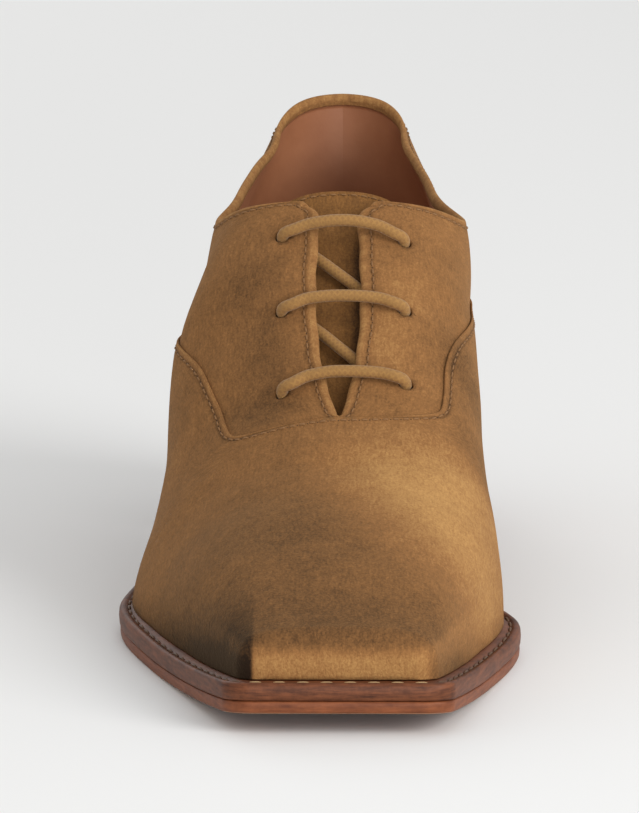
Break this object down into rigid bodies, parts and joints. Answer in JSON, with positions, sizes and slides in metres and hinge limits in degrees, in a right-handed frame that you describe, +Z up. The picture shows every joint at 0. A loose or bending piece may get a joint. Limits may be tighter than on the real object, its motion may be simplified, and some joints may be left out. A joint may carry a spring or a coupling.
{
  "type": "lace-up heel",
  "caption": "Woman's right lace-up shoe with a square toe, slit throat, welted leather sole and stacked block heel.",
  "frame": {"origin": "middle of the footprint, on the floor", "axes": "+Z up, -Y towards the toe, +Y towards the heel, -X towards the wearer's right, which is the outer side of this right shoe"},
  "size_m": [0.093, 0.254, 0.1027],
  "materials": {
    "suede": "matt brushed suede",
    "lace": "round waxed cotton",
    "sole_leather": "stained and burnished",
    "welt_leather": "stained and burnished",
    "heel_leather": "stacked, burnished",
    "lining_leather": "smooth",
    "rubber": "matt"
  },
  "bodies": {
    "root": {"outsole": "sole_leather", "welt": "welt_leather", "heel": "heel_leather", "top_lift": "rubber", "insole": "lining_leather", "upper": "suede", "tongue": "suede", "laces": "lace"}
  },
  "joints": []
}
